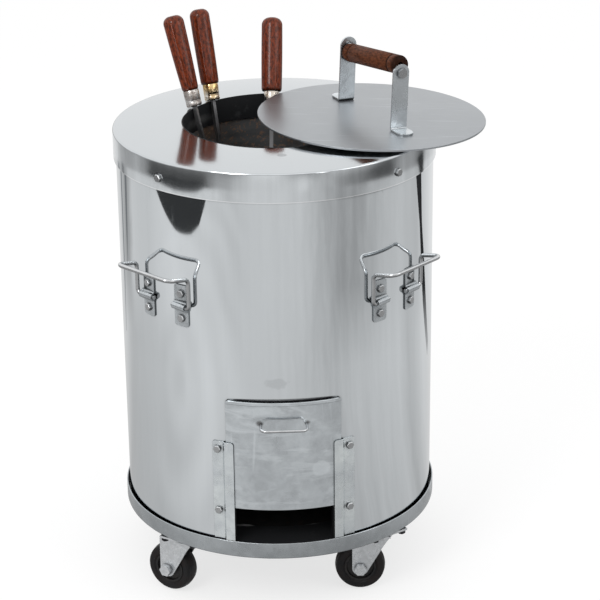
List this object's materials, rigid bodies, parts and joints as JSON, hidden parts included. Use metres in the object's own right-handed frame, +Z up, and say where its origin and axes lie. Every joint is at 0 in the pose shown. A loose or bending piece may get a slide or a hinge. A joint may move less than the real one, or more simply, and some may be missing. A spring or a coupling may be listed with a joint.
{
  "type": "clay tandoor oven",
  "caption": "Charcoal tandoor: a clay pot in a polished steel drum on casters, with a sliding air door, folding handles, a loose lid and skewers.",
  "frame": {"origin": "on the floor, under the drum's axis", "axes": "+Z up along the drum's axis, -Y towards the air door, +X to the right as one faces the door"},
  "size_m": [0.5406, 0.4911, 0.8245],
  "materials": {
    "polished_steel": "mirror-polished stainless sheet",
    "dull_steel": "dull rolled stainless sheet",
    "lid_steel": "satin steel plate with fine scratches",
    "rod_steel": "bright drawn steel",
    "fastener_steel": "plated hex fasteners",
    "sooted_steel": "blackened by soot",
    "zinc_steel": "zinc-plated pressed steel",
    "cast_iron": "rough cast",
    "clay": "unglazed fired clay, sooted",
    "refractory": "rough refractory",
    "wool": "loose mineral wool",
    "hub_plastic": "black moulded",
    "tyre_rubber": "black rubber",
    "handle_wood": "dark red-brown varnish",
    "grip_wood": "brown turned wood"
  },
  "bodies": {
    "drum": {"base_tray": "dull_steel", "floor_slab": "refractory", "drum_shell": "polished_steel", "insulation": "wool", "clay_pot": "clay", "charcoal_grate": "cast_iron", "grate_legs": "cast_iron", "air_duct": "sooted_steel", "top_cover": "polished_steel", "mouth_collar": "sooted_steel", "cover_bolts": "fastener_steel", "guide_left": "dull_steel", "guide_right": "dull_steel", "guide_bolts": "fastener_steel", "brackets_front_left": "dull_steel", "brackets_front_right": "dull_steel", "brackets_back_right": "dull_steel", "brackets_back_left": "dull_steel", "handle_bolts": "fastener_steel", "caster_bolts": "fastener_steel", "caster_plate_front_left": "zinc_steel", "caster_plate_front_right": "zinc_steel", "caster_plate_back_right": "zinc_steel", "caster_plate_back_left": "zinc_steel"},
    "air_door": {"air_door": "dull_steel", "door_pull": "rod_steel"},
    "handle_front_left": {"handle_front_left": "rod_steel"},
    "handle_front_right": {"handle_front_right": "rod_steel"},
    "handle_back_right": {"handle_back_right": "rod_steel"},
    "handle_back_left": {"handle_back_left": "rod_steel"},
    "caster_front_left": {"caster_fork_front_left": "zinc_steel", "caster_axle_front_left": "zinc_steel"},
    "caster_front_right": {"caster_fork_front_right": "zinc_steel", "caster_axle_front_right": "zinc_steel"},
    "caster_back_right": {"caster_fork_back_right": "zinc_steel", "caster_axle_back_right": "zinc_steel"},
    "caster_back_left": {"caster_fork_back_left": "zinc_steel", "caster_axle_back_left": "zinc_steel"},
    "wheel_front_left": {"wheel_hub_front_left": "hub_plastic", "wheel_tyre_front_left": "tyre_rubber"},
    "wheel_front_right": {"wheel_hub_front_right": "hub_plastic", "wheel_tyre_front_right": "tyre_rubber"},
    "wheel_back_right": {"wheel_hub_back_right": "hub_plastic", "wheel_tyre_back_right": "tyre_rubber"},
    "wheel_back_left": {"wheel_hub_back_left": "hub_plastic", "wheel_tyre_back_left": "tyre_rubber"},
    "lid": {"lid_plate": "lid_steel", "lid_strap_front": "lid_steel", "lid_strap_back": "lid_steel", "lid_grip": "grip_wood", "lid_rod": "fastener_steel"},
    "skewer_left": {"skewer_bar_left": "rod_steel", "skewer_ferrule_left": "polished_steel", "skewer_handle_left": "handle_wood"},
    "skewer_middle": {"skewer_bar_middle": "rod_steel", "skewer_ferrule_middle": "polished_steel", "skewer_handle_middle": "handle_wood"},
    "skewer_right": {"skewer_bar_right": "rod_steel", "skewer_ferrule_right": "polished_steel", "skewer_handle_right": "handle_wood"}
  },
  "joints": [
    {"name": "door_slide", "type": "slide", "parent": "drum", "child": "air_door", "axis": [0, 0, 1], "range_m": [-0.0607, 0.07]},
    {"name": "handle_front_left_fold", "type": "hinge", "parent": "drum", "child": "handle_front_left", "pos_m": [-0.1649, -0.1649, 0.479], "axis": [0.7071, -0.7071, 0], "range_deg": [0, 140]},
    {"name": "handle_front_right_fold", "type": "hinge", "parent": "drum", "child": "handle_front_right", "pos_m": [0.1649, -0.1649, 0.479], "axis": [0.7071, 0.7071, 0], "range_deg": [0, 140]},
    {"name": "handle_back_right_fold", "type": "hinge", "parent": "drum", "child": "handle_back_right", "pos_m": [0.1649, 0.1649, 0.479], "axis": [-0.7071, 0.7071, 0], "range_deg": [0, 140]},
    {"name": "handle_back_left_fold", "type": "hinge", "parent": "drum", "child": "handle_back_left", "pos_m": [-0.1649, 0.1649, 0.479], "axis": [-0.7071, -0.7071, 0], "range_deg": [0, 140]},
    {"name": "caster_front_left_swivel", "type": "hinge", "parent": "drum", "child": "caster_front_left", "pos_m": [-0.14213, -0.14213, 0.09], "axis": [0, 0, 1], "continuous": true},
    {"name": "caster_front_right_swivel", "type": "hinge", "parent": "drum", "child": "caster_front_right", "pos_m": [0.14213, -0.14213, 0.09], "axis": [0, 0, 1], "continuous": true},
    {"name": "caster_back_right_swivel", "type": "hinge", "parent": "drum", "child": "caster_back_right", "pos_m": [0.14213, 0.14213, 0.09], "axis": [0, 0, 1], "continuous": true},
    {"name": "caster_back_left_swivel", "type": "hinge", "parent": "drum", "child": "caster_back_left", "pos_m": [-0.14213, 0.14213, 0.09], "axis": [0, 0, 1], "continuous": true},
    {"name": "wheel_front_left_spin", "type": "hinge", "parent": "caster_front_left", "child": "wheel_front_left", "pos_m": [-0.16566, -0.12696, 0.0375], "axis": [-0.5417, -0.8406, 0], "continuous": true},
    {"name": "wheel_front_right_spin", "type": "hinge", "parent": "caster_front_right", "child": "wheel_front_right", "pos_m": [0.11416, -0.14076, 0.0375], "axis": [-0.0489, -0.9988, 0], "continuous": true},
    {"name": "wheel_back_right_spin", "type": "hinge", "parent": "caster_back_right", "child": "wheel_back_right", "pos_m": [0.16844, 0.13255, 0.0375], "axis": [0.342, 0.9397, 0], "continuous": true},
    {"name": "wheel_back_left_spin", "type": "hinge", "parent": "caster_back_left", "child": "wheel_back_left", "pos_m": [-0.16638, 0.12813, 0.0375], "axis": [0.5, -0.866, 0], "continuous": true},
    {"name": "lid_lift", "type": "slide", "parent": "drum", "child": "lid", "axis": [0, 0, 1], "range_m": [0, 0.35]},
    {"name": "skewer_left_draw", "type": "slide", "parent": "drum", "child": "skewer_left", "axis": [-0.2179, 0.2324, 0.9479], "range_m": [0, 0.6]},
    {"name": "skewer_middle_draw", "type": "slide", "parent": "drum", "child": "skewer_middle", "axis": [-0.128, 0.2598, 0.9571], "range_m": [0, 0.6]},
    {"name": "skewer_right_draw", "type": "slide", "parent": "drum", "child": "skewer_right", "axis": [0.0337, 0.425, 0.9045], "range_m": [0, 0.6]}
  ]
}
